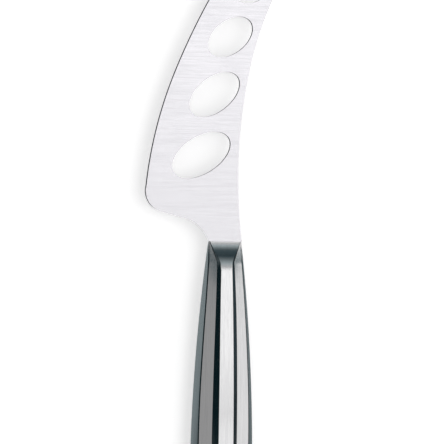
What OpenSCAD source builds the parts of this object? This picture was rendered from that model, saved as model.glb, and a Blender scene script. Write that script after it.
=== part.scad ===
// Soft cheese knife: a curved blade with oval holes and a forked tip,
// fixed by its tang in a hollow ribbed handle made of two pressed halves.
// Worked out from the neck, where the blade meets the handle: +X runs to the
// tip, +Y to the cutting edge, +Z up from the middle plane. The last step
// moves the knife so that its box stands centred on the origin.

/* [Blade] */
// Thickness of the blade plate
blade_t = 1.3; // [1:0.1:2]
// Width of the blade where it meets the handle
neck_w = 12.2; // [10.5:0.1:13]
// Distance of the heel's outermost point from the handle's axis
heel_drop = 29.4; // [26:0.1:34]
// Radius of the hollow curve from the neck to the heel
neck_fillet_r = 12.7; // [9:0.1:14]
// Direction of the blade's outline as it leaves the neck, in degrees
neck_angle = 19; // [10:1:25]
// Direction of the straight part under the heel, in degrees
heel_lean = 76; // [70:1:82]
// Radius of the rounded heel corner
heel_r = 7.8; // [5:0.1:9]
// Radius of the cutting edge near the heel
edge_heel_r = 150; // [130:1:175]
// Radius of the cutting edge further out
edge_mid_r = 248; // [220:1:300]
// Radius of the back of the blade near the handle
spine_heel_r = 185; // [170:1:200]
// Radius of the back of the blade near the tip
spine_tip_r = 115.5; // [108:0.5:124]

/* [Cutting edge] */
// Width of the ground bevel on each face
bevel_w = 0.2; // [0.1:0.05:0.4]
// Flat that the two bevels leave between them
edge_land = 0.5; // [0.3:0.05:0.8]

/* [Forked tip] */
// Width of the blade where the prongs begin
tip_w = 13.6; // [12.4:0.1:15]
// Length of the prongs
prong_l = 9; // [7:0.1:11]
// Distance between the middles of the prong points
prong_spread = 9.6; // [8.8:0.1:10.2]
// Radius of each prong point
prong_r = 0.9; // [0.6:0.05:1.2]
// Radius of the round bottom of the notch between the prongs
notch_r = 2.5; // [1.8:0.1:3]

/* [Holes] */
// Length of the first oval hole
hole_long = 23.6; // [20:0.1:24]
// Width of the first oval hole
hole_short = 13.3; // [10:0.1:14]
// Distance of the first hole's middle from the neck
hole_first_x = 30.7; // [29:0.1:33]
// Distance along the handle's axis from the first hole's middle to the last's
hole_span = 61; // [56:0.1:62]

/* [Handle] */
// Length of the handle
handle_l = 112; // [95:1:130]
// Distance from the neck to the widest place
handle_widest = 85; // [70:1:92]
// Full width of the handle at its widest place
handle_w = 22.9; // [20:0.1:25]
// Full thickness of the handle over its two ribs
handle_t = 14.2; // [13:0.1:16]
// Thickness over the handle's ribs as drawn out to the neck
rib_neck_t = 6; // [5.6:0.1:6.4]
// Full width of the flat top of the rib
rib_w = 5.5; // [4.6:0.05:6]
// Width of the flat top of the rib as drawn out to the neck
rib_neck_w = 3.7; // [3:0.1:4]
// Width over the foot of the rib's bevels
rib_foot_w = 9.1; // [8:0.1:10]
// Width over the foot of the rib's bevels at the neck
rib_foot_neck_w = 5.5; // [5:0.1:6]
// Thickness over the shoulders at the foot of the rib
shoulder_t = 8.7; // [8:0.1:9.2]
// Thickness over the shoulders at the foot of the rib, at the neck
shoulder_neck_t = 1.4; // [1.36:0.02:1.6]
// Thickness at the outer edges of the shoulders
edge_t = 6.6; // [6:0.1:7.2]
// Thickness at the outer edges of the shoulders, at the neck
edge_neck_t = 1.35; // [1.2:0.05:1.6]
// Slant of the handle's sides, in degrees from upright
side_draft = 25; // [20:1:30]
// Distance by which the side's outer arris has set in further at the widest place
side_set = 0.75; // [0.4:0.05:1]

/* [Nose of the handle] */
// Step from the blade's face up to the handle
lip_h = 0.25; // [0.15:0.05:0.35]
// Length of the hollow ramp behind the step, up to the crease across the nose
ramp_l = 5.3; // [4.6:0.1:6]
// Height of the crease over the blade's face
crease_h = 2.03; // [1.7:0.01:2.2]
// Distance from the neck to where the rounded nose runs out into the rib
nose_l = 10.5; // [9:0.1:11.5]
// Length of the two valleys that run from the neck's corners to the rib
valley_l = 7.5; // [7:0.1:8]
// Distance between the valleys at the neck
valley_neck_w = 11.4; // [11:0.1:11.5]
// Width of the rib's flat top as drawn out to the neck between the valleys
valley_rib_w = 7.2; // [6.6:0.1:7.8]
// Length over which the valleys ease into the handle's run, to each side of their end
valley_ease_l = 1.2; // [0.8:0.1:1.6]
// Length by which the rounded nose is drawn on at both ends
nose_lead = 0.5; // [0.3:0.1:0.8]

/* [Butt] */
// Length of the rounded end of the handle
butt_round_l = 5; // [3:0.1:8]

/* [Inside the handle] */
// Wall of the pressed handle halves
wall = 0.9; // [0.7:0.05:1.1]
// Distance from the neck to the hollow
hollow_start = 12; // [11:0.1:15]
// Thickness of the brazed seam between the halves
seam_t = 0.3; // [0.2:0.05:0.4]
// Length of the tang
tang_l = 72; // [50:1:80]
// Thickness of the tang, which is ground thinner than the blade
tang_t = 1.1; // [0.9:0.05:1.2]
// Width of the tang at the neck
tang_w = 8; // [6:0.1:8.4]
// Width of the tang at its end
tang_end_w = 5; // [4:0.1:6]
// Clearance round the tang in the nose
tang_gap = 0.1; // [0.05:0.05:0.2]
// Distance from the neck to the end of the cement
cement_end = 80; // [60:1:88]
// Clearance of the cement from the wall
cement_gap = 0.1; // [0.05:0.05:0.2]

/* [Hidden] */

// Overrun that takes a cut clear of a face
over = 2;

// Directions in degrees, from +X towards +Y
spine_angle = 7.8;
spine_turn = 19.8;
heel_head = -5.2;
edge_turn = 16.5;
tip_run_head = -27.5;
tip_head = -42;
// Turn by which the bevel runs on past the heel and past the point
bevel_run_angle = 3;

// Places and sizes of the four holes, as shares
hole_station_shares = [0, 0.356, 0.695, 1];
hole_across_shares = [0.425, 0.388, 0.41, 0.405];
hole_long_shares = [1, 0.898, 0.784, 0.657];
hole_short_shares = [1, 0.932, 0.887, 0.812];
hole_angles = [122, 128, 127.5, 128];

// Rise of the ramp where it starts, and break between the nose and the rib
ramp_head = 8;
nose_break = 2;

// Powers of the laws by which the handle grows from the neck
width_power = 2;
foot_power = 2.5;
edge_power = 5;
shoulder_power = 5.5;
// Power of the law by which the shoulders rise beside the nose
valley_power = 1.2;
// Power of the law by which the side's outer arris sets in along the handle
set_power = 2.3;
// Share of its size that the handle loses over the rounded butt
butt_loss_share = 0.3;

// Steps on arcs, and on the handle's nose, run, butt and cement
arc_steps = 24;
nose_steps = 8;
run_steps = 24;
butt_steps = 8;
cement_steps = 18;
// Sides of large rounds and of the holes
big_fn = 720;
hole_fn = 96;
loft_layers = 6;

function head(a) = [cos(a), sin(a)];
function left(a) = [-sin(a), cos(a)];

// An arc leaves p in direction a and turns by t degrees, positive to the left
function arc_centre(p, a, r, t) = p + sign(t) * r * left(a);
function arc_end(p, a, r, t) = arc_centre(p, a, r, t) - sign(t) * r * left(a + t);
function arc_points(p, a, r, t, steps = arc_steps) =
    [for (i = [1 : steps]) arc_centre(p, a, r, t) - sign(t) * r * left(a + t * i / steps)];

// The side with the heel and the cutting edge, from the neck to the prongs
neck_edge = [0, neck_w / 2];
fillet_turn = heel_lean - neck_angle;
heel_from = arc_end(neck_edge, neck_angle, neck_fillet_r, fillet_turn);
heel_run = (heel_drop - heel_from[1] - heel_r * (1 - cos(heel_lean))) / sin(heel_lean);
heel_to = heel_from + heel_run * head(heel_lean);
corner_turn = heel_head - heel_lean;
edge_from = arc_end(heel_to, heel_lean, heel_r, corner_turn);
edge_mid = arc_end(edge_from, heel_head, edge_heel_r, -edge_turn);
mid_head = heel_head - edge_turn;
edge_out = arc_end(edge_mid, mid_head, edge_mid_r, tip_run_head - mid_head);

// The back of the blade, from the neck to the prongs
neck_spine = [0, -neck_w / 2];
spine_mid = arc_end(neck_spine, spine_angle, spine_heel_r, -spine_turn);
spine_mid_head = spine_angle - spine_turn;
spine_out = arc_end(spine_mid, spine_mid_head, spine_tip_r, tip_head - spine_mid_head);

// The prongs, in a frame that looks out along the tip
tip_mid = spine_out + tip_w / 2 * left(tip_head);
function at_tip(out, side) = tip_mid + out * head(tip_head) + side * left(tip_head);
point_out = prong_l - prong_r;
point_side = prong_spread / 2;
point_in = tip_w / 2 - point_side;

// The cutting edge sweeps on one last arc into the round of the first prong's point
point_mid = at_tip(point_out, point_side);
sweep_gap = point_mid - edge_out;
sweep_depth = -sweep_gap * left(tip_run_head);
sweep_r = (sweep_gap * sweep_gap - prong_r * prong_r) / (2 * (sweep_depth - prong_r));
sweep_spoke = point_mid - arc_centre(edge_out, tip_run_head, sweep_r, -1);
sweep_turn = atan2(sweep_spoke[1], sweep_spoke[0]) - tip_run_head - 90;

// The back of the blade runs into the round of the second prong's point
outer_r = (pow(point_out, 2) + pow(point_in, 2) - pow(prong_r, 2)) / (2 * (point_in - prong_r));
outer_turn = atan2(point_out, outer_r - point_in);
notch_reach = norm([point_out - notch_r, point_side]);
flare = atan2(point_side, point_out - notch_r) - asin((notch_r + prong_r) / notch_reach);

// Round of a prong's point, from its outer side to the notch; side is 1 or -1
function point_arc(side, from) = [for (i = [1 : arc_steps])
    let (a = from + (180 - flare - from) * i / arc_steps)
    at_tip(point_out + prong_r * sin(a), side * (point_side + prong_r * cos(a)))];
outer_arc = [for (i = [1 : arc_steps]) let (a = outer_turn * i / arc_steps)
    at_tip(outer_r * sin(a), -tip_w / 2 + outer_r * (1 - cos(a)))];
notch_points = [for (i = [0 : arc_steps]) let (a = flare + (180 - 2 * flare) * i / arc_steps)
    at_tip(notch_r * (1 - sin(a)), notch_r * cos(a))];
function reversed(v) = [for (i = [len(v) - 1 : -1 : 0]) v[i]];

edge_side = concat(
    [neck_edge],
    arc_points(neck_edge, neck_angle, neck_fillet_r, fillet_turn),
    [heel_to],
    arc_points(heel_to, heel_lean, heel_r, corner_turn),
    arc_points(edge_from, heel_head, edge_heel_r, -edge_turn),
    arc_points(edge_mid, mid_head, edge_mid_r, tip_run_head - mid_head),
    arc_points(edge_out, tip_run_head, sweep_r, sweep_turn),
    point_arc(1, tip_head - tip_run_head - sweep_turn));
spine_side = concat(
    [neck_spine],
    arc_points(neck_spine, spine_angle, spine_heel_r, -spine_turn),
    arc_points(spine_mid, spine_mid_head, spine_tip_r, tip_head - spine_mid_head),
    outer_arc,
    point_arc(-1, outer_turn));
blade_outline = concat(edge_side, notch_points, reversed(spine_side));

// Height of the outline over the axis at a place x, on either side
function arc_y(c, r, x) = c[1] + sqrt(r * r - pow(x - c[0], 2));
function spine_y(x) = x < spine_mid[0]
    ? arc_y(arc_centre(neck_spine, spine_angle, spine_heel_r, -1), spine_heel_r, x)
    : arc_y(arc_centre(spine_mid, spine_mid_head, spine_tip_r, -1), spine_tip_r, x);
function edge_y(x) = x < edge_mid[0]
    ? arc_y(arc_centre(edge_from, heel_head, edge_heel_r, -1), edge_heel_r, x)
    : arc_y(arc_centre(edge_mid, mid_head, edge_mid_r, -1), edge_mid_r, x);

// Box of the knife, for the origin
tip_reach = point_mid[0] + prong_r;
spine_reach = at_tip(point_out, -point_side)[1] - prong_r;
box_shift = [(handle_l - tip_reach) / 2, -(heel_drop + spine_reach) / 2, handle_t / 2];

// The handle grows from its neck size to its full size at the widest place
function grow(s, neck, full, power) = full - (full - neck) * pow(abs(1 - s / handle_widest), power);
function rib_z(s) = grow(s, rib_neck_t, handle_t, width_power) / 2;
function side_x(s) = grow(s, neck_w, handle_w, width_power) / 2;
function plain_edge(s) = grow(s, edge_neck_t, edge_t, edge_power) / 2;
function plain_shoulder(s) = grow(s, shoulder_neck_t, shoulder_t, shoulder_power) / 2;
function plain_foot(s) = grow(s, rib_foot_neck_w, rib_foot_w, foot_power) / 2;
function plain_rib(s) = grow(s, rib_neck_w, rib_w, width_power) / 2;

// Beside the nose the rib's bevels run straight out to the neck's corners, and
// the shoulders dip; both laws ease into those of the rest of the handle
function ease_share(s) = let (t = min(1, max(0, (s - valley_l + valley_ease_l) / (2 * valley_ease_l))))
    t * t * (3 - 2 * t);
function eased(s, near, far) = near + ease_share(s) * (far - near);
function run_out(s, neck, end) = end + (neck / 2 - end) * (1 - s / valley_l);
function dip(s, neck, end) = neck / 2 + (end - neck / 2) * pow(s / valley_l, valley_power);
function foot_x(s) = eased(s, run_out(s, valley_neck_w, plain_foot(valley_l)), plain_foot(s));
function rib_x(s) = eased(s, run_out(s, valley_rib_w, plain_rib(valley_l)), plain_rib(s));
function foot_z(s) = eased(s, dip(s, shoulder_neck_t, plain_shoulder(valley_l)), plain_shoulder(s));
function edge_z(s) = eased(s, dip(s, edge_neck_t, plain_edge(valley_l)), plain_edge(s));

// Arc of the ramp, from the step to the crease, as seen from the side: [place, height]
lip_z = blade_t / 2 + lip_h;
crease_z = blade_t / 2 + crease_h;
ramp_lean = atan2(crease_z - lip_z, ramp_l);
ramp_r = norm([ramp_l, crease_z - lip_z]) / (2 * sin(ramp_lean - ramp_head));
ramp_mid = [-ramp_r * sin(ramp_head), lip_z + ramp_r * cos(ramp_head)];

// Arc of the nose, from the crease to the rib
rib_lean = atan((handle_t - rib_neck_t) / handle_widest * (1 - nose_l / handle_widest));
nose_head = rib_lean + nose_break;
nose_run = nose_l - ramp_l;
nose_rise = rib_z(nose_l) - crease_z;
nose_square = nose_run * nose_run + nose_rise * nose_rise;
nose_r = nose_square / (2 * (nose_rise * cos(nose_head) - nose_run * sin(nose_head)));
nose_mid = [nose_l + nose_r * sin(nose_head), rib_z(nose_l) - nose_r * cos(nose_head)];

// Share of its size that the section keeps at a place s
butt_from = handle_l - butt_round_l;
function kept(s) = 1 - butt_loss_share * (1 - sqrt(1 - pow(max(0, s - butt_from) / butt_round_l, 2)));

// A quarter of the section: side, outer shoulder, foot of the rib, rib
function set_in(s) = edge_z(s) * tan(side_draft) + side_set * pow(s / handle_widest, set_power);
function quarter(s) = kept(s) * [
    [side_x(s), 0],
    [side_x(s) - set_in(s), edge_z(s)],
    [foot_x(s), foot_z(s)],
    [rib_x(s), rib_z(s)]];

// The same quarter moved in by d, square to each flat of the section
function flat_normal(p, q) = let (v = q - p) [v[1], -v[0]] / norm(v);
function moved_in(p, n1, n2, d) = p - d * (n1 + n2) / (1 + n1 * n2);
function inset_quarter(q, d) = let (
    n0 = flat_normal(q[0], q[1]),
    n1 = flat_normal(q[1], q[2]),
    n2 = flat_normal(q[2], q[3])) [
    moved_in(q[0], [n0[0], -n0[1]], n0, d),
    moved_in(q[1], n0, n1, d),
    moved_in(q[2], n1, n2, d),
    moved_in(q[3], n2, [0, 1], d)];

// The whole section of fourteen points, turned round from one quarter
function ring(s, q) = concat(
    [for (i = [0 : 3]) [-s, q[i][0], q[i][1]]],
    [for (i = [3 : -1 : 0]) [-s, -q[i][0], q[i][1]]],
    [for (i = [1 : 3]) [-s, -q[i][0], -q[i][1]]],
    [for (i = [3 : -1 : 1]) [-s, q[i][0], -q[i][1]]]);

// Places of the sections between two ends, closer over the nose and the butt
function spread(from, to, steps) = [for (i = [0 : steps - 1]) from + (to - from) * i / steps];
function rounded(from, length, steps) = [for (i = [0 : steps]) from + length * sin(90 * i / steps)];
outer_places = concat(
    spread(0, hollow_start, nose_steps),
    spread(hollow_start, butt_from, run_steps),
    rounded(butt_from, butt_round_l, butt_steps));
hollow_round_l = butt_round_l - wall;
hollow_places = concat(
    spread(hollow_start, butt_from, run_steps),
    rounded(butt_from, hollow_round_l, butt_steps));
cement_places = concat(spread(hollow_start, cement_end, cement_steps), [cement_end]);

// Skin over a row of sections with the same number of points
module loft(rings) {
    n = len(rings[0]);
    last = len(rings) - 1;
    sides = [for (k = [0 : last - 1], i = [0 : n - 1], t = [0, 1]) let (j = (i + 1) % n)
        t == 0 ? [k * n + i, k * n + j, (k + 1) * n + j] : [k * n + i, (k + 1) * n + j, (k + 1) * n + i]];
    low = [for (i = [0 : n / 2 - 2]) [i, i + 1, n - 1 - i]];
    high = [for (i = [1 : n / 2 - 1]) [i, n - 1 - i, n - i]];
    first_cap = [for (c = concat(low, high)) [c[2], c[1], c[0]]];
    last_cap = [for (c = concat(low, high)) [for (i = c) last * n + i]];
    faces = concat(sides, first_cap, last_cap);
    polyhedron([for (r = rings) each r], faces, convexity = loft_layers);
}

// Roll that lies across the handle, with its middle at a place and a height
module roll(middle, r) {
    translate([-middle[0], handle_w / 2, middle[1]])
        rotate([90, 0, 0]) cylinder(h = handle_w, r = r, $fn = big_fn);
}

// What the rounded nose leaves of the rib and its bevels
module nose_cut() {
    difference() {
        translate([-nose_l - nose_lead, -handle_w / 2, lip_z])
            cube([nose_run + 2 * nose_lead, handle_w, handle_t]);
        roll(nose_mid, nose_r);
    }
}

module outer_form() {
    difference() {
        loft([for (s = outer_places) ring(s, quarter(s))]);
        for (up = [0, 1])
            mirror([0, 0, up]) {
                roll(ramp_mid, ramp_r);
                nose_cut();
            }
    }
}

module hollow_form() {
    loft([for (s = hollow_places) ring(s, inset_quarter(quarter(s), wall))]);
}

module tang_form(gap) {
    linear_extrude(height = tang_t + 2 * gap, center = true)
        polygon([[over, tang_w / 2 + gap], [over, -tang_w / 2 - gap],
            [-tang_l, -tang_end_w / 2 - gap], [-tang_l, tang_end_w / 2 + gap]]);
}

// Everything above or below the seam, over the handle's whole length
module half_space(up) {
    translate([-handle_l - over, -handle_w / 2 - over, up > 0 ? seam_t / 2 : -handle_t / 2 - over])
        cube([handle_l + 2 * over, handle_w + 2 * over, handle_t / 2 + over - seam_t / 2]);
}

module shell(up) {
    difference() {
        intersection() {
            outer_form();
            half_space(up);
        }
        hollow_form();
        tang_form(tang_gap);
    }
}

// Wedge that grinds both bevels along an arc of the cutting edge, and runs on
// by some degrees before and after it
module bevel_cut(p, a, r, t, before, after) {
    deep = (blade_t - edge_land) / 2;
    c = arc_centre(p, a, r, t);
    for (up = [0, 1])
        mirror([0, 0, up]) translate([c[0], c[1], edge_land / 2])
            rotate([0, 0, a + 90 + t - after]) rotate_extrude(angle = before - t + after, $fn = big_fn)
                polygon([[r, 0], [r + over, -deep * over / bevel_w],
                    [r + over, deep * 2], [r - 2 * bevel_w, deep * 2]]);
}

module hole(i) {
    x = hole_first_x + hole_span * hole_station_shares[i];
    y = spine_y(x) + hole_across_shares[i] * (edge_y(x) - spine_y(x));
    translate([x, y, -blade_t / 2 - over]) rotate([0, 0, hole_angles[i]])
        scale([hole_long * hole_long_shares[i] / 2, hole_short * hole_short_shares[i] / 2, 1])
            cylinder(h = blade_t + 2 * over, r = 1, $fn = hole_fn);
}

module blade() {
    color("gainsboro") translate(box_shift) {
        difference() {
            linear_extrude(height = blade_t, center = true) polygon(blade_outline);
            for (i = [0 : len(hole_angles) - 1]) hole(i);
            bevel_cut(edge_from, heel_head, edge_heel_r, -edge_turn, bevel_run_angle, 0);
            bevel_cut(edge_mid, mid_head, edge_mid_r, tip_run_head - mid_head, 0, 0);
            bevel_cut(edge_out, tip_run_head, sweep_r, sweep_turn, 0, bevel_run_angle);
        }
        difference() {
            tang_form(0);
            translate([0, -tang_w / 2 - over, -blade_t]) cube([2 * over, tang_w + 2 * over, 2 * blade_t]);
        }
    }
}

module handle_shell_front() {
    color("silver") translate(box_shift) shell(1);
}

module handle_shell_back() {
    color("silver") translate(box_shift) shell(-1);
}

// Brazing that joins the two halves all round, flush with the handle's sides
module seam_weld() {
    color("lightgray") translate(box_shift) difference() {
        intersection() {
            outer_form();
            translate([-handle_l - over, -handle_w / 2 - over, -seam_t / 2])
                cube([handle_l + 2 * over, handle_w + 2 * over, seam_t]);
        }
        hollow_form();
        tang_form(tang_gap);
    }
}

// Cement that holds the tang in the front of the hollow
module tang_cement() {
    color("tan") translate(box_shift) difference() {
        loft([for (s = cement_places) ring(s, inset_quarter(quarter(s), wall + cement_gap))]);
        tang_form(0);
    }
}

blade();
handle_shell_front();
handle_shell_back();
seam_weld();
tang_cement();
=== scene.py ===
"""Looks of a soft cheese knife: steel blade with oval holes, ribbed steel handle.

The knife lies on a pale floor and is seen from above. The forms are drawn in
millimetres from the neck, where the blade meets the handle: X to the tip, Y to
the cutting edge, Z up from the middle plane. NECK moves them to the row frame.
"""

import math

import bmesh
import bpy
from mathutils import Matrix, Vector


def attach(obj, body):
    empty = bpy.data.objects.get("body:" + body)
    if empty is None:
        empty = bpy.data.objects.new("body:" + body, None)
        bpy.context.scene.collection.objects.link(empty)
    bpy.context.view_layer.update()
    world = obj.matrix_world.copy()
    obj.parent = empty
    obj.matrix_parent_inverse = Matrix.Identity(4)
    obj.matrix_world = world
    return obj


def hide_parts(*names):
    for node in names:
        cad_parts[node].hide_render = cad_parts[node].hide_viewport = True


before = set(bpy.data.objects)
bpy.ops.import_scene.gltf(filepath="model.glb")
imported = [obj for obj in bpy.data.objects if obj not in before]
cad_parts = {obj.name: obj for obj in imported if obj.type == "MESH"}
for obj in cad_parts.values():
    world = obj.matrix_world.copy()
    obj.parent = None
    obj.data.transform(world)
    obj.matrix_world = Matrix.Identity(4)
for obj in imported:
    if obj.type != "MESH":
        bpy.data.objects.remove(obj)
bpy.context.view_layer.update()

MM = 0.001

# The neck in the row frame, whose origin is on the floor under the middle of the box
NECK = Vector((-9.76161, 5.50377, 7.1))

# Blade: radii, widths and lengths, and headings and turns in degrees
BLADE_T = 1.3
NECK_W = 12.2
HEEL_DROP = 29.4
FILLET_R, NECK_LEAD = 12.7, 19.0
HEEL_LEAN, HEEL_R = 76.0, 7.8
HEEL_HEAD, EDGE_TURN = -5.2, 16.5
MID_HEAD = HEEL_HEAD - EDGE_TURN
EDGE_HEEL_R, EDGE_MID_R = 150.0, 248.0
SPINE_LEAD, SPINE_TURN = 7.8, 19.8
SPINE_HEAD = SPINE_LEAD - SPINE_TURN
SPINE_HEEL_R, SPINE_TIP_R = 185.0, 115.5
TIP_RUN_HEAD, TIP_HEAD = -27.5, -42.0
TIP_W, PRONG_L, PRONG_SPREAD, PRONG_R, NOTCH_R = 13.6, 9.0, 9.6, 0.9, 2.5
BEVEL_W, EDGE_LAND = 0.2, 0.5
RIM_R = 0.04
TANG_L, TANG_W, TANG_END_W, TANG_T = 72.0, 8.0, 5.0, 1.1
TANG_SINK = 0.5

# Holes: length and width of the first, then each one's shares of the way along and
# across the blade, of the length and of the width, and its tilt in degrees
HOLE_LONG, HOLE_SHORT = 23.6, 13.3
HOLE_FIRST_X, HOLE_SPAN = 30.7, 61.0
HOLES = (
    (0.0, 0.425, 1.0, 1.0, 122.0),
    (0.356, 0.388, 0.898, 0.932, 128.0),
    (0.695, 0.41, 0.784, 0.887, 127.5),
    (1.0, 0.405, 0.657, 0.812, 128.0),
)

# Handle
HANDLE_L, WIDEST = 112.0, 85.0
HANDLE_W, HANDLE_T = 22.9, 14.2
RIB_NECK_T, RIB_W, RIB_NECK_W = 6.0, 5.5, 3.7
FOOT_W, FOOT_NECK_W = 9.1, 5.5
SHOULDER_T, SHOULDER_NECK_T = 8.7, 1.4
EDGE_T, EDGE_NECK_T = 6.6, 1.35
SIDE_SET, SET_POWER = 0.75, 2.3
DRAFT = 25.0
LIP, RAMP_L, RAMP_HEAD, CREASE_H, NOSE_L, NOSE_BREAK = 0.25, 5.3, 8.0, 2.03, 10.5, 2.0
VALLEY_L, VALLEY_NECK_W, VALLEY_RIB_W = 7.5, 11.4, 7.2
VALLEY_EASE_L, VALLEY_POWER = 1.2, 1.2
BUTT_L, BUTT_LOSS = 5.0, 0.3
WALL, HOLLOW_START, SEAM_T, TANG_GAP = 0.9, 12.0, 0.3, 0.1
WIDTH_POWER, FOOT_POWER, EDGE_POWER, SHOULDER_POWER = 2.0, 2.5, 5.0, 5.5

# Rounding of the pressed corners: outer shoulder, foot of the rib and rib, and the
# share of the shorter flat beside it that each may take
SHOULDER_R, FOOT_R, RIB_R = 0.9, 0.35, 0.2
ROUNDING_SHARE = 0.45

# Steps of the curves, and parts of the straight lines between them
FILLET_STEPS, HEEL_STEPS, EDGE_HEEL_STEPS, EDGE_MID_STEPS = 32, 40, 40, 24
SWEEP_STEPS, SPINE_STEPS, FLANK_STEPS, POINT_STEPS, NOTCH_STEPS = 40, 48, 24, 16, 24
HOLE_STEPS, RIM_STEPS = 112, 4
RAMP_STEPS, NOSE_STEPS, RUN_STEPS, BUTT_STEPS = 22, 20, 48, 16
SHOULDER_STEPS, FOOT_STEPS, RIB_STEPS = 8, 5, 6
SIDE_PARTS, FLAT_PARTS, BEVEL_PARTS, CROWN_PARTS = 4, 8, 6, 5

# Mesh: the least gap of two sections, the cosine at which a corner's offset stops to
# grow, the merging gaps in metres, the angle past which an edge stays sharp, and the
# weight of large faces in the normals
LEAST_GAP = 0.05
CORNER_LIMIT = -0.5
MERGE_GAP, SLIVER_GAP = 1e-7, 1e-8
SHARP_ANGLE = 19.0
NORMAL_WEIGHT = 80


def head(a):
    """Unit vector with heading a in degrees."""
    a = math.radians(a)
    return Vector((math.cos(a), math.sin(a)))


def left(a):
    """Unit vector to the left of heading a."""
    a = math.radians(a)
    return Vector((-math.sin(a), math.cos(a)))


def arc_centre(p, a, r, t):
    return p + math.copysign(r, t) * left(a)


def arc(p, a, r, t, steps):
    """Points of an arc that leaves p with heading a and turns by t degrees."""
    c = arc_centre(p, a, r, t)
    return [c - math.copysign(r, t) * left(a + t * i / steps) for i in range(1, steps + 1)]


def ground(points, bevel):
    """Outline points, each with its share of the ground bevel."""
    return [(p, bevel) for p in points]


def heel_and_edge():
    """The outline from the neck to the tip's sweep, and where its two edge arcs start."""
    heel = [Vector((0, NECK_W / 2))]
    heel += arc(heel[-1], NECK_LEAD, FILLET_R, HEEL_LEAN - NECK_LEAD, FILLET_STEPS)
    lean = math.radians(HEEL_LEAN)
    drop = HEEL_DROP - heel[-1].y - HEEL_R * (1 - math.cos(lean))
    heel.append(heel[-1] + drop / math.sin(lean) * head(HEEL_LEAN))
    heel += arc(heel[-1], HEEL_LEAN, HEEL_R, HEEL_HEAD - HEEL_LEAN, HEEL_STEPS)
    edge_from = heel.pop()
    near = arc(edge_from, HEEL_HEAD, EDGE_HEEL_R, -EDGE_TURN, EDGE_HEEL_STEPS)
    far = arc(near[-1], MID_HEAD, EDGE_MID_R, TIP_RUN_HEAD - MID_HEAD, EDGE_MID_STEPS)
    outline = ground(heel, 0.0) + [(edge_from, 0.5)] + ground(near + far, 1.0)
    return outline, edge_from, near[-1]


def back():
    """The outline along the back from the neck, and where its second arc starts."""
    start = Vector((0, -NECK_W / 2))
    near = arc(start, SPINE_LEAD, SPINE_HEEL_R, -SPINE_TURN, SPINE_STEPS)
    far = arc(near[-1], SPINE_HEAD, SPINE_TIP_R, TIP_HEAD - SPINE_HEAD, SPINE_STEPS)
    return [start] + near + far, near[-1]


def forked_tip(edge_out, spine_out):
    """The tip in three runs: edge side with its point, notch, back with its point."""
    middle = spine_out + TIP_W / 2 * left(TIP_HEAD)
    out, side = PRONG_L - PRONG_R, PRONG_SPREAD / 2
    inward = TIP_W / 2 - side
    reach = math.hypot(out - NOTCH_R, side)
    flare = math.atan2(side, out - NOTCH_R) - math.asin((NOTCH_R + PRONG_R) / reach)

    def place(along, across):
        return middle + along * head(TIP_HEAD) + across * left(TIP_HEAD)

    def point_arc(which, start):
        turn = math.pi - flare - start
        turns = [start + turn * i / POINT_STEPS for i in range(1, POINT_STEPS + 1)]
        return [
            place(out + PRONG_R * math.sin(a), which * (side + PRONG_R * math.cos(a)))
            for a in turns
        ]

    point_mid = place(out, side)
    gap = point_mid - edge_out
    depth = -gap.dot(left(TIP_RUN_HEAD))
    sweep_r = (gap.dot(gap) - PRONG_R**2) / (2 * (depth - PRONG_R))
    spoke = point_mid - arc_centre(edge_out, TIP_RUN_HEAD, sweep_r, -1)
    sweep = math.degrees(math.atan2(spoke.y, spoke.x)) - TIP_RUN_HEAD - 90
    edge_side = ground(arc(edge_out, TIP_RUN_HEAD, sweep_r, sweep, SWEEP_STEPS), 1.0)
    edge_side += ground(point_arc(1, math.radians(TIP_HEAD - TIP_RUN_HEAD - sweep)), 0.0)

    flare_turn = math.pi - 2 * flare
    turns = [flare + flare_turn * i / NOTCH_STEPS for i in range(NOTCH_STEPS + 1)]
    notch = [place(NOTCH_R * (1 - math.sin(a)), NOTCH_R * math.cos(a)) for a in turns]

    flank_r = (out**2 + inward**2 - PRONG_R**2) / (2 * (inward - PRONG_R))
    flank_turn = math.atan2(out, flank_r - inward)
    turns = [flank_turn * i / FLANK_STEPS for i in range(1, FLANK_STEPS + 1)]
    back_side = [
        place(flank_r * math.sin(a), -TIP_W / 2 + flank_r * (1 - math.cos(a)))
        for a in turns
    ]
    return edge_side, notch, back_side + point_arc(-1, flank_turn)


def blade_outline():
    """The closed outline as (point, share of the bevel), and the joints of its arcs."""
    edge, edge_from, edge_mid = heel_and_edge()
    spine, spine_mid = back()
    edge_side, notch, back_side = forked_tip(edge[-1][0], spine[-1])
    outline = edge + edge_side + ground(notch + (spine + back_side)[::-1], 0.0)
    return outline, spine_mid, edge_from, edge_mid


def hole_outlines(spine_mid, edge_from, edge_mid):
    """The ovals, each placed by its share of the way across the blade."""

    def height(c, r, x):
        return c.y + math.sqrt(r * r - (x - c.x) ** 2)

    neck = Vector((0, -NECK_W / 2))
    outlines = []
    for along, across, long_share, short_share, tilt in HOLES:
        x = HOLE_FIRST_X + HOLE_SPAN * along
        if x < spine_mid.x:
            low = height(arc_centre(neck, SPINE_LEAD, SPINE_HEEL_R, -1), SPINE_HEEL_R, x)
        else:
            low = height(arc_centre(spine_mid, SPINE_HEAD, SPINE_TIP_R, -1), SPINE_TIP_R, x)
        if x < edge_mid.x:
            high = height(arc_centre(edge_from, HEEL_HEAD, EDGE_HEEL_R, -1), EDGE_HEEL_R, x)
        else:
            high = height(arc_centre(edge_mid, MID_HEAD, EDGE_MID_R, -1), EDGE_MID_R, x)
        c = Vector((x, low + across * (high - low)))
        a, b = HOLE_LONG * long_share / 2, HOLE_SHORT * short_share / 2
        turns = [2 * math.pi * i / HOLE_STEPS for i in range(HOLE_STEPS)]
        ring = [c + a * math.cos(t) * head(tilt) + b * math.sin(t) * left(tilt) for t in turns]
        outlines.append(ground(ring, 0.0))
    return outlines


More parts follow.
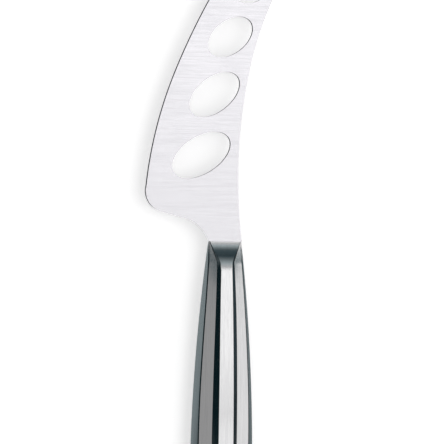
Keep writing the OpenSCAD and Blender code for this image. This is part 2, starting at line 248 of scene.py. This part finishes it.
def offset_point(loop, i, d):
    """Point i of a closed outline moved square to it by d, into the plate."""
    before, p, after = loop[i - 1][0], loop[i][0], loop[(i + 1) % len(loop)][0]
    u, v = (p - before).normalized(), (after - p).normalized()
    n1, n2 = Vector((u.y, -u.x)), Vector((v.y, -v.x))
    return p + d * (n1 + n2) / (1 + max(n1.dot(n2), CORNER_LIMIT))


def to_row(x, y, z):
    """A place by the neck, in millimetres, as one in the row frame, in metres."""
    return (Vector((x, y, z)) + NECK) * MM


def rim_profile(bevel):
    """(inset, height) pairs from the face down to the middle of the rim."""
    half = BLADE_T / 2
    rows = []
    for i in range(RIM_STEPS + 1):
        share = i / RIM_STEPS
        a = math.pi / 2 * share
        inset, height = RIM_R * (1 - math.sin(a)), half - RIM_R * (1 - math.cos(a))
        ground_inset = BEVEL_W * (1 - share)
        ground_height = half - (half - EDGE_LAND / 2) * share
        rows.append((
            inset + bevel * (ground_inset - inset),
            height + bevel * (ground_height - height),
        ))
    return rows


def add_tang(bm):
    """The tang, thinner than the plate and tapering to its end inside the handle."""
    z = TANG_T / 2
    plan = [(TANG_SINK, TANG_W / 2), (TANG_SINK, -TANG_W / 2),
            (-TANG_L, -TANG_END_W / 2), (-TANG_L, TANG_END_W / 2)]
    low = [bm.verts.new(to_row(x, y, -z)) for x, y in plan]
    high = [bm.verts.new(to_row(x, y, z)) for x, y in plan]
    bm.faces.new(low)
    bm.faces.new(high[::-1])
    for i in range(4):
        bm.faces.new((low[i], low[(i + 1) % 4], high[(i + 1) % 4], high[i]))


def add_rim(bm, loop):
    """The rounded or ground rim along one outline; the edges of both faces come back."""
    columns = []
    for i, (_, bevel) in enumerate(loop):
        half = [(offset_point(loop, i, inset), height) for inset, height in rim_profile(bevel)]
        whole = half + [(q, -height) for q, height in half[::-1]]
        columns.append([bm.verts.new(to_row(q.x, q.y, height)) for q, height in whole])
    pairs = list(zip(columns, columns[1:] + columns[:1]))
    for a, b in pairs:
        for k in range(len(a) - 1):
            bm.faces.new((a[k], b[k], b[k + 1], a[k + 1])).smooth = True
    return [[bm.edges.get((a[k], b[k])) for a, b in pairs] for k in (0, -1)]


def build_blade():
    """Plate with ovals, fork and tang; every rim is rounded or ground."""
    outline, spine_mid, edge_from, edge_mid = blade_outline()
    bm = bmesh.new()
    upper, lower = [], []
    for loop in [outline] + hole_outlines(spine_mid, edge_from, edge_mid):
        top, bottom = add_rim(bm, loop)
        upper += top
        lower += bottom
    for edges in (upper, lower):
        bmesh.ops.triangle_fill(bm, use_beauty=True, use_dissolve=False, edges=edges)
    add_tang(bm)
    bmesh.ops.recalc_face_normals(bm, faces=bm.faces)
    return finish_mesh(bm, "blade_plate", "blade")


def grow(s, neck, full, power):
    """A size that grows from the neck to its full value at the widest place."""
    return full - (full - neck) * abs(1 - s / WIDEST) ** power


def kept(s):
    """Share of the section that the round butt keeps."""
    t = max(0.0, s - (HANDLE_L - BUTT_L)) / BUTT_L
    return 1 - BUTT_LOSS * (1 - math.sqrt(max(0.0, 1 - t * t)))


def rib_z(s):
    return grow(s, RIB_NECK_T, HANDLE_T, WIDTH_POWER) / 2


def nose_arcs():
    """Middle (place, height) and radius of the hollow ramp and of the rounded nose."""
    lip, crease = BLADE_T / 2 + LIP, BLADE_T / 2 + CREASE_H
    start = math.radians(RAMP_HEAD)
    lean = math.atan2(crease - lip, RAMP_L)
    ramp_r = math.hypot(RAMP_L, crease - lip) / (2 * math.sin(lean - start))
    ramp_mid = (-ramp_r * math.sin(start), lip + ramp_r * math.cos(start))
    slope = (HANDLE_T - RIB_NECK_T) / WIDEST * (1 - NOSE_L / WIDEST)
    stop = math.atan(slope) + math.radians(NOSE_BREAK)
    run, rise = NOSE_L - RAMP_L, rib_z(NOSE_L) - crease
    nose_r = (run**2 + rise**2) / (2 * (rise * math.cos(stop) - run * math.sin(stop)))
    nose_mid = (NOSE_L + nose_r * math.sin(stop), rib_z(NOSE_L) - nose_r * math.cos(stop))
    return ramp_mid, ramp_r, nose_mid, nose_r


RAMP_MID, RAMP_R, NOSE_MID, NOSE_R = nose_arcs()


def top_limit(s):
    """Height to which the ramp and the nose cut the section."""
    if s <= RAMP_L:
        return RAMP_MID[1] - math.sqrt(RAMP_R**2 - (s - RAMP_MID[0]) ** 2)
    if s < NOSE_L:
        return NOSE_MID[1] + math.sqrt(NOSE_R**2 - (s - NOSE_MID[0]) ** 2)
    return math.inf


def eased(s, near, far):
    """Near the neck one law holds, further on the other; they ease into each other."""
    t = min(1.0, max(0.0, (s - VALLEY_L + VALLEY_EASE_L) / (2 * VALLEY_EASE_L)))
    return near + t * t * (3 - 2 * t) * (far - near)


def run_out(s, neck, law):
    """Half a width that runs straight from its place beside the nose to the neck's."""
    end = grow(VALLEY_L, *law) / 2
    return eased(s, end + (neck / 2 - end) * (1 - s / VALLEY_L), grow(s, *law) / 2)


def dip(s, law):
    """Half a thickness that dips beside the nose."""
    start, end = law[0] / 2, grow(VALLEY_L, *law) / 2
    return eased(s, start + (end - start) * (s / VALLEY_L) ** VALLEY_POWER, grow(s, *law) / 2)


def corners(s):
    """Side, outer shoulder, foot of the rib and rib, for one quarter of the section."""
    side = grow(s, NECK_W, HANDLE_W, WIDTH_POWER) / 2
    edge = dip(s, (EDGE_NECK_T, EDGE_T, EDGE_POWER))
    set_in = edge * math.tan(math.radians(DRAFT)) + SIDE_SET * (s / WIDEST) ** SET_POWER
    points = (
        (side, 0.0),
        (side - set_in, edge),
        (run_out(s, VALLEY_NECK_W, (FOOT_NECK_W, FOOT_W, FOOT_POWER)),
         dip(s, (SHOULDER_NECK_T, SHOULDER_T, SHOULDER_POWER))),
        (run_out(s, VALLEY_RIB_W, (RIB_NECK_W, RIB_W, WIDTH_POWER)), rib_z(s)),
    )
    return [kept(s) * Vector(p) for p in points]


def fillet(a, p, b, r, steps):
    """Points that round the corner p between a and b."""
    u, v = (a - p), (b - p)
    room = ROUNDING_SHARE * min(u.length, v.length)
    u.normalize()
    v.normalize()
    half = math.acos(max(-1.0, min(1.0, u.dot(v)))) / 2
    t = min(r / math.tan(half), room)
    r = t * math.tan(half)
    bisector = (u + v).normalized()
    c = p + bisector * (r / math.sin(half))
    start, stop = p + u * t - c, p + v * t - c
    a0 = math.atan2(start.y, start.x)
    turn = (math.atan2(stop.y, stop.x) - a0 + math.pi) % (2 * math.pi) - math.pi
    angles = [a0 + turn * i / steps for i in range(steps + 1)]
    return [c + r * Vector((math.cos(x), math.sin(x))) for x in angles]


def between(a, b, parts):
    """Points that divide the line from a to b into equal parts."""
    return [a + (b - a) * i / parts for i in range(1, parts)]


def cut_above(line, limit):
    """The line with all points above the limit drawn to where it is reached."""
    k = next(i for i, q in enumerate(line) if q.y > limit)
    share = (limit - line[k - 1].y) / (line[k].y - line[k - 1].y)
    crown = line[k - 1] + share * (line[k] - line[k - 1])
    return line[:k] + [crown] * (len(line) - k)


def section(s):
    """Upper half of the handle's section, from the +Y side over to the -Y side."""
    p0, p1, p2, p3 = corners(s)
    scale = kept(s)
    start = p0 + (p1 - p0) * (SEAM_T / 2 / p1.y)
    top = Vector((0.0, p3.y))
    shoulder = fillet(p0, p1, p2, SHOULDER_R * scale, SHOULDER_STEPS)
    foot = fillet(p1, p2, p3, FOOT_R * scale, FOOT_STEPS)
    rib = fillet(p2, p3, top, RIB_R * scale, RIB_STEPS)
    line = [start] + between(start, shoulder[0], SIDE_PARTS) + shoulder
    line += between(shoulder[-1], foot[0], FLAT_PARTS) + foot
    line += between(foot[-1], rib[0], BEVEL_PARTS) + rib
    if top_limit(s) < line[-1].y:
        line = cut_above(line, top_limit(s))
    middle = Vector((0.0, line[-1].y))
    line += between(line[-1], middle, CROWN_PARTS) + [middle]
    return line + [Vector((-q.x, q.y)) for q in line[-2::-1]]


def inner_section(s):
    """The hollow's section, the outer one moved in by the wall."""
    q = corners(s)
    normals = []
    for a, b in zip(q, q[1:]):
        v = b - a
        normals.append(Vector((v.y, -v.x)).normalized())
    normals.append(Vector((0.0, 1.0)))
    moved = [
        q[k] - WALL * (normals[k - 1] + normals[k]) / (1 + normals[k - 1].dot(normals[k]))
        for k in (1, 2, 3)
    ]
    low = SEAM_T / 2
    foot = q[0] + (q[1] - q[0]) * (low / q[1].y)
    first = Vector((foot.x - WALL / math.cos(math.radians(DRAFT)), low))
    half = [first] + moved
    return half + [Vector((-p.x, p.y)) for p in half[::-1]]


def slot_section(s):
    """The tang's slot through the solid nose."""
    w = TANG_W / 2 - (TANG_W - TANG_END_W) / 2 * s / TANG_L + TANG_GAP
    h = TANG_T / 2 + TANG_GAP
    low = SEAM_T / 2
    half = [Vector((w, low)), Vector((w, (low + h) / 2)), Vector((w, h)), Vector((w / 2, h))]
    return half + [Vector((-p.x, p.y)) for p in half[::-1]]


def stations():
    """Places of the sections: along the ramp, the nose, the run and the round butt."""
    butt, end = HANDLE_L - BUTT_L, HANDLE_L - WALL
    nose, run = NOSE_L - RAMP_L, butt - HOLLOW_START
    places = [RAMP_L * i / RAMP_STEPS for i in range(RAMP_STEPS)]
    places += [RAMP_L + nose * i / NOSE_STEPS for i in range(NOSE_STEPS)]
    places += [VALLEY_L, NOSE_L, HOLLOW_START]
    places += [HOLLOW_START + run * i / RUN_STEPS for i in range(1, RUN_STEPS)]
    turns = [math.pi / 2 * i / BUTT_STEPS for i in range(BUTT_STEPS + 1)]
    places += [butt + BUTT_L * math.sin(a) for a in turns]
    return sorted([s for s in places if abs(s - end) > LEAST_GAP] + [end])


def build_shell(name, node, up):
    """One pressed half of the handle, with its hollow and the tang's slot."""
    bm = bmesh.new()
    places = stations()
    end = places.index(HANDLE_L - WALL)
    start = places.index(HOLLOW_START)

    def row(s, points):
        return [bm.verts.new(to_row(-s, p.x, up * p.y)) for p in points]

    def skin(rows, smooth):
        for a, b in zip(rows, rows[1:]):
            for i in range(len(a) - 1):
                bm.faces.new((a[i], a[i + 1], b[i + 1], b[i])).smooth = smooth

    outer = [row(s, section(s)) for s in places]
    slot = [row(s, slot_section(s)) for s in places[: start + 1]]
    hollow = [row(s, inner_section(s)) for s in places[start : end + 1]]
    skin(outer, True)
    skin(slot, False)
    skin([slot[-1]] + hollow, False)
    for side in (0, -1):
        for k in range(start - 1):
            bm.faces.new((outer[k][side], outer[k + 1][side], slot[k + 1][side], slot[k][side]))
        bm.faces.new((outer[start - 1][side], outer[start][side], hollow[0][side],
                      slot[start][side], slot[start - 1][side]))
        for k in range(start, end):
            j = k - start
            bm.faces.new((outer[k][side], outer[k + 1][side], hollow[j + 1][side],
                          hollow[j][side]))
    last = hollow[-1]
    bm.faces.new(last)
    bm.faces.new((outer[end][0], outer[end + 1][0], outer[end + 1][-1], outer[end][-1],
                  last[-1], last[0]))
    for k in range(end + 1, len(places) - 1):
        bm.faces.new((outer[k][0], outer[k + 1][0], outer[k + 1][-1], outer[k][-1]))
    bm.faces.new(outer[-1])
    bm.faces.new(outer[0] + slot[0][::-1])
    bmesh.ops.remove_doubles(bm, verts=bm.verts, dist=MERGE_GAP)
    bmesh.ops.dissolve_degenerate(bm, edges=bm.edges, dist=SLIVER_GAP)
    bmesh.ops.recalc_face_normals(bm, faces=bm.faces)
    return finish_mesh(bm, name, node)


def finish_mesh(bm, name, node):
    """The mesh as a piece that stands in for its node."""
    mesh = bpy.data.meshes.new(name)
    bm.to_mesh(mesh)
    bm.free()
    mesh.set_sharp_from_angle(angle=math.radians(SHARP_ANGLE))
    piece = bpy.data.objects.new(name, mesh)
    bpy.context.scene.collection.objects.link(piece)
    weighted = piece.modifiers.new("weighted", "WEIGHTED_NORMAL")
    weighted.keep_sharp = True
    weighted.weight = NORMAL_WEIGHT
    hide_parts(node)
    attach(piece, "root")
    return piece


class Nodes:
    """Short hand for building a material."""

    def __init__(self, name):
        self.material = bpy.data.materials.new(name)
        self.material.use_nodes = True
        self.tree = self.material.node_tree
        self.shader = self.tree.nodes["Principled BSDF"]

    def add(self, kind, **settings):
        node = self.tree.nodes.new(kind)
        for key, value in settings.items():
            setattr(node, key, value)
        return node

    def link(self, a, b):
        self.tree.links.new(a, b)

    def maths(self, operation, *values):
        """An operation on one or two values, each a number or an output."""
        node = self.add("ShaderNodeMath", operation=operation)
        for socket, value in zip(node.inputs, values):
            if isinstance(value, (int, float)):
                socket.default_value = value
            else:
                self.link(value, socket)
        return node.outputs["Value"]

    def noise(self, scale, detail, roughness, stretch=(1.0, 1.0, 1.0)):
        """Noise over the object, in features per metre, stretched along an axis."""
        mapping = self.add("ShaderNodeMapping")
        mapping.inputs["Scale"].default_value = tuple(scale * v for v in stretch)
        place = self.add("ShaderNodeTexCoord").outputs["Object"]
        self.link(place, mapping.inputs["Vector"])
        noise = self.add("ShaderNodeTexNoise")
        noise.inputs["Scale"].default_value = 1.0
        noise.inputs["Detail"].default_value = detail
        noise.inputs["Roughness"].default_value = roughness
        self.link(mapping.outputs["Vector"], noise.inputs["Vector"])
        return noise.outputs["Fac"]

    def spread(self, value, low, high, start=0.3, stop=0.7):
        """A value between start and stop spread over low to high."""
        out = self.add("ShaderNodeMapRange")
        out.inputs["From Min"].default_value = start
        out.inputs["From Max"].default_value = stop
        out.inputs["To Min"].default_value = low
        out.inputs["To Max"].default_value = high
        self.link(value, out.inputs["Value"])
        return out.outputs["Result"]

    def mixed(self, factor, first, second):
        """Two colours, or outputs that carry one, mixed by a factor."""
        mix = self.add("ShaderNodeMix", data_type="RGBA")
        self.link(factor, mix.inputs["Factor"])
        for socket, colour in ((mix.inputs["A"], first), (mix.inputs["B"], second)):
            if isinstance(colour, tuple):
                socket.default_value = (*colour, 1.0)
            else:
                self.link(colour, socket)
        return mix.outputs["Result"]

    def part_of(self, vector, axis):
        """One of the three numbers of a vector."""
        split = self.add("ShaderNodeSeparateXYZ")
        self.link(vector, split.inputs["Vector"])
        return split.outputs[axis]

    def place(self, axis):
        """Place over the object, in metres."""
        return self.part_of(self.add("ShaderNodeTexCoord").outputs["Object"], axis)

    def steepness(self):
        """1 on upright walls, 0 on faces that lie flat."""
        normal = self.add("ShaderNodeNewGeometry").outputs["True Normal"]
        up = self.maths("ABSOLUTE", self.part_of(normal, "Z"))
        return self.spread(up, 1.0, 0.0, start=0.5, stop=0.7)

    def bump(self, height, strength, distance):
        """Relief on the surface, by the distance in metres."""
        bump = self.add("ShaderNodeBump")
        bump.inputs["Strength"].default_value = strength
        bump.inputs["Distance"].default_value = distance
        self.link(height, bump.inputs["Height"])
        self.link(bump.outputs["Normal"], self.shader.inputs["Normal"])


# Brushed steel: shares of the coarse and the fine lines, how much finer these are, the
# values between which the lines spread, and what lines and clouds add to the roughness
COARSE_SHARE, FINE_SHARE = 0.55, 0.45
FINER = 3.7
LINE_LOW, LINE_HIGH = 0.36, 0.64
LINE_ROUGH, CLOUD_ROUGH = 0.035, 0.03
CLOUD_GRAIN = 90.0
LINE_DEPTH = 0.00004
LINES_ACROSS, LINES_ALONG = (1.0, 0.03, 0.03), (0.02, 1.0, 1.0)

# Walls of the blade: their near-black colour, which is painted shade, and their roughness, a
# near-white painted highlight under the heel, the places along the knife between which that
# ends, and the specular level of steel, which the shaded walls lose
WALL_SHADE_PAINT, STAMPED_ROUGH = (0.06, 0.065, 0.07), 0.5
HEEL_HIGHLIGHT_PAINT = (0.95, 0.95, 0.95)
HEEL_HIGHLIGHT_END = (0.001, 0.003)
SPECULAR = 0.5


def brushed_steel(name, light, dark, rough, stretch, grain, depth, wall_paint=False):
    """Ground steel with fine lines along the axis whose stretch is small.

    When asked, the walls get painted shade, near-black and dull, with a painted highlight under
    the heel instead.
    """
    m = Nodes(name)
    coarse = m.noise(grain, detail=3.0, roughness=0.6, stretch=stretch)
    fine = m.noise(grain * FINER, detail=3.0, roughness=0.65, stretch=stretch)
    lines = m.maths("ADD", m.maths("MULTIPLY", coarse, COARSE_SHARE),
                    m.maths("MULTIPLY", fine, FINE_SHARE))
    colour = m.mixed(m.spread(lines, 0.0, 1.0, LINE_LOW, LINE_HIGH), dark, light)
    cloud = m.noise(CLOUD_GRAIN, detail=3.0, roughness=0.5)
    wear = m.spread(cloud, -CLOUD_ROUGH, CLOUD_ROUGH)
    line_rough = m.spread(lines, rough + LINE_ROUGH, rough - LINE_ROUGH, LINE_LOW, LINE_HIGH)
    roughness = m.maths("ADD", line_rough, wear)
    m.shader.inputs["Metallic"].default_value = 1.0
    if wall_paint:
        colour, roughness = paint_wall_shade_and_highlight(m, colour, roughness, rough)
    m.link(colour, m.shader.inputs["Base Color"])
    m.link(roughness, m.shader.inputs["Roughness"])
    m.bump(lines, depth, LINE_DEPTH)
    return m.material


def paint_wall_shade_and_highlight(m, colour, roughness, rough):
    """Colour and roughness with painted shade on the walls, near-black and dull, but a painted
    highlight under the heel.
    """
    upright_share = m.steepness()
    # mask of the walls and steep bevels past the heel, which carry painted shade
    wall = m.maths("MULTIPLY", upright_share, m.spread(m.place("X"), 0.0, 1.0, *HEEL_HIGHLIGHT_END))
    unshaded_share = m.maths("SUBTRACT", 1.0, wall)
    m.link(unshaded_share, m.shader.inputs["Metallic"])
    m.link(m.maths("MULTIPLY", unshaded_share, SPECULAR), m.shader.inputs["Specular IOR Level"])
    # painted highlight: near-white colour on the walls under the heel
    colour = m.mixed(m.maths("SUBTRACT", upright_share, wall), colour, HEEL_HIGHLIGHT_PAINT)
    # painted shade: near-black colour on the walls and steep bevels past the heel
    colour = m.mixed(wall, colour, WALL_SHADE_PAINT)
    more = m.maths("MULTIPLY", wall, STAMPED_ROUGH - rough)
    return colour, m.maths("ADD", roughness, more)


def blade_steel():
    """Steel ground across the blade, with painted shade and a painted highlight on its walls.
    """
    return brushed_steel(
        "blade_steel", light=(0.5, 0.492, 0.512), dark=(0.46, 0.453, 0.472), rough=0.19,
        stretch=LINES_ACROSS, grain=2000.0, depth=0.25, wall_paint=True,
    )


def handle_steel():
    """Steel ground along the handle, a little smoother and darker than the blade."""
    return brushed_steel(
        "handle_steel", light=(0.468, 0.466, 0.47), dark=(0.42, 0.418, 0.422), rough=0.17,
        stretch=LINES_ALONG, grain=1800.0, depth=0.2,
    )


def braze_metal():
    """Warm, duller metal of the seam, ground with the handle."""
    return brushed_steel(
        "braze", light=(0.58, 0.57, 0.56), dark=(0.50, 0.49, 0.48), rough=0.25,
        stretch=LINES_ALONG, grain=1800.0, depth=0.3,
    )


def cement():
    """Cast grey-brown cement with small pores."""
    m = Nodes("cement")
    grain = m.noise(2500.0, detail=6.0, roughness=0.7)
    colour = m.mixed(m.spread(grain, 0.0, 1.0), (0.30, 0.26, 0.20), (0.42, 0.38, 0.31))
    m.link(colour, m.shader.inputs["Base Color"])
    m.link(m.spread(grain, 0.75, 0.95), m.shader.inputs["Roughness"])
    m.bump(grain, strength=0.4, distance=0.0001)
    return m.material


def dress(piece, material):
    """Puts one material on a piece."""
    piece.data.materials.clear()
    piece.data.materials.append(material)


def plane(name, corner_points, material):
    """A stage piece with four corners."""
    mesh = bpy.data.meshes.new(name)
    mesh.from_pydata([tuple(p) for p in corner_points], [], [(0, 1, 2, 3)])
    obj = bpy.data.objects.new(name, mesh)
    bpy.context.scene.collection.objects.link(obj)
    obj.data.materials.append(material)
    return obj


def standing(x0, x1, y0, y1, top):
    """Corners of a card that stands on the floor along the knife."""
    return [(x0, y0, 0.0), (x1, y1, 0.0), (x1, y1, top), (x0, y0, top)]


def facing(x, y0, y1, low, top):
    """Corners of a card that hangs upright across the knife."""
    return [(x, y0, low), (x, y1, low), (x, y1, top), (x, y0, top)]


def even(level):
    """Stops of a card that is as bright all over."""
    return [(0.0, level), (1.0, level)]


# The stage, in metres. Each card has its corners and its stops, which are pairs of a
# share of the height from the floor to its top and a brightness. A tint goes with
# the brightness under its limit, so a dimmer card is bluer.
FLOOR_REACH, FLOOR_GLOW = 4.0, 0.45
TINTS = (
    (0.05, (0.3, 1.0, 1.25)),
    (0.2, (0.6, 0.95, 1.1)),
    (0.9, (0.8, 0.96, 1.0)),
    (2.0, (1.0, 1.0, 1.0)),
)
CARDS = {
    "card_left": (
        standing(-0.16, -0.008, 0.031, 0.0239, 0.03),
        [(0.0, 0.48), (0.17, 0.46), (0.31, 0.02), (1.0, 0.02)],
    ),
    "card_right": (standing(-0.16, -0.012, -0.017, -0.017, 0.018), even(0.08)),
    "card_low": (standing(-0.16, -0.012, -0.0133, -0.004, 0.007), even(0.3)),
    "card_tip": (
        facing(0.5, -1.6, 1.0, 0.22, 1.35),
        [(0.0, 0.08), (0.25, 0.08), (0.345, 0.11), (0.474, 0.13), (0.53, 0.22), (0.6, 0.45),
         (0.745, 0.82), (1.0, 1.1)],
    ),
    "card_fore_left": (
        facing(0.3, -0.03, 0.6, 0.4, 1.6),
        [(0.0, 0.1), (0.4, 0.14), (0.65, 0.24), (1.0, 0.32)],
    ),
    "card_fore_right": (
        [(0.3, -0.14, 0.4), (0.3, -0.95, 0.4), (0.3, -1.6, 1.15), (0.3, -0.36, 1.15)],
        [(0.0, 0.1), (0.4, 0.2), (0.7, 0.4), (0.88, 0.6), (1.0, 0.9)],
    ),
    "card_over": (
        [(-0.08, -1.3, 1.98), (-0.08, -0.04, 1.98), (0.02, -0.04, 1.98), (0.02, -1.3, 1.98)],
        even(1.15),
    ),
}

# Overhead lamps: middle, size and brightness of the face
SOFTBOXES = {
    "softbox_top": ((-0.16, -0.67, 2.0), (1.6, 1.26), 1.4),
    "softbox_side": ((-0.16, -2.25, 2.0), (1.6, 1.9), 0.93),
}
SKY_LEVEL = 0.6


def floor_paint():
    """Matt white that glows a little for the camera and for reflections."""
    m = Nodes("floor_paint")
    grain = m.noise(400.0, detail=2.0, roughness=0.5)
    colour = m.mixed(m.spread(grain, 0.0, 1.0), (0.80, 0.80, 0.80), (0.82, 0.82, 0.82))
    m.link(colour, m.shader.inputs["Base Color"])
    rays = m.add("ShaderNodeLightPath").outputs
    seen = m.maths("MAXIMUM", rays["Is Camera Ray"], rays["Is Glossy Ray"])
    seen = m.maths("MAXIMUM", seen, rays["Is Transmission Ray"])
    m.shader.inputs["Emission Color"].default_value = (1.0, 1.0, 1.0, 1.0)
    m.link(m.maths("MULTIPLY", seen, FLOOR_GLOW), m.shader.inputs["Emission Strength"])
    m.shader.inputs["Roughness"].default_value = 0.9
    m.shader.inputs["Specular IOR Level"].default_value = 0.1
    return m.material


def card_paint(name, top, stops):
    """Light that is graded from the floor up to the card's top."""
    m = Nodes(name + "_paint")
    m.tree.nodes.remove(m.shader)
    ramp = m.add("ShaderNodeValToRGB")
    elements = ramp.color_ramp.elements
    for k, (at, level) in enumerate(stops):
        stop = elements[k] if k < 2 else elements.new(at)
        stop.position = at
        tint = next(colour for limit, colour in TINTS if level < limit)
        stop.color = tuple(level * c for c in tint) + (1.0,)
    m.link(m.spread(m.place("Z"), 0.0, 1.0, 0.0, top), ramp.inputs["Fac"])
    glow = m.add("ShaderNodeEmission")
    m.link(ramp.outputs["Color"], glow.inputs["Color"])
    m.link(glow.outputs["Emission"], m.tree.nodes["Material Output"].inputs["Surface"])
    return m.material


def build_stage():
    """The floor, and the studio cards that only the metal's reflections see."""
    r = FLOOR_REACH
    plane("floor", [(-r, -r, 0), (r, -r, 0), (r, r, 0), (-r, r, 0)], floor_paint())
    for name, (points, stops) in CARDS.items():
        top = points[2][2]
        card = plane(name, points, card_paint(name, top, stops))
        card.visible_camera = False
        card.visible_diffuse = False
        card.visible_shadow = False


def softbox(name, centre, size, level):
    """A lamp that faces down; its power follows from its size and brightness."""
    lamp = bpy.data.lights.new(name, "AREA")
    lamp.shape = "RECTANGLE"
    lamp.size, lamp.size_y = size
    lamp.energy = level * size[0] * size[1] * math.pi
    obj = bpy.data.objects.new(name, lamp)
    obj.location = centre
    obj.visible_camera = False
    bpy.context.scene.collection.objects.link(obj)


def build_lights():
    """The overhead lamps and an even white sky."""
    for name, (centre, size, level) in SOFTBOXES.items():
        softbox(name, centre, size, level)
    world = bpy.data.worlds.new("studio")
    bpy.context.scene.world = world
    world.use_nodes = True
    background = world.node_tree.nodes["Background"]
    background.inputs["Color"].default_value = (1.0, 1.0, 1.0, 1.0)
    background.inputs["Strength"].default_value = SKY_LEVEL


# Camera: focal length and sensor in millimetres, width of the field in metres, its
# lean and roll in degrees, and the place that it looks at
LENS, SENSOR, FIELD = 400.0, 36.0, 0.15857
LEAN, ROLL = 13.5, 0.95
LOOK_AT = Vector((-2.81, 6.615, 7.1)) * MM
CLIP_START, CLIP_END = 0.1, 20.0


def build_camera():
    """A long lens straight over the knife, leaning to the cutting edge's side."""
    lean, roll = math.radians(LEAN), math.radians(ROLL)
    along = Vector((1.0, 0.0, 0.0))
    across = Vector((0.0, -math.cos(lean), math.sin(lean)))
    right = math.cos(roll) * across + math.sin(roll) * along
    up = math.cos(roll) * along - math.sin(roll) * across
    toward = Vector((0.0, math.sin(lean), math.cos(lean)))
    camera = bpy.data.cameras.new("camera")
    camera.lens, camera.sensor_width = LENS, SENSOR
    camera.clip_start, camera.clip_end = CLIP_START, CLIP_END
    obj = bpy.data.objects.new("camera", camera)
    turn = Matrix((right, up, toward)).transposed()
    place = LOOK_AT + toward * (FIELD * LENS / SENSOR)
    obj.matrix_world = Matrix.Translation(place) @ turn.to_4x4()
    bpy.context.scene.collection.objects.link(obj)
    bpy.context.scene.camera = obj


build_camera()
shell_steel = handle_steel()
dress(build_blade(), blade_steel())
dress(build_shell("handle_half_front", "handle_shell_front", 1), shell_steel)
dress(build_shell("handle_half_back", "handle_shell_back", -1), shell_steel)
dress(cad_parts["seam_weld"], braze_metal())
dress(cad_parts["tang_cement"], cement())
build_stage()
build_lights()
bpy.context.scene.view_settings.view_transform = "Standard"
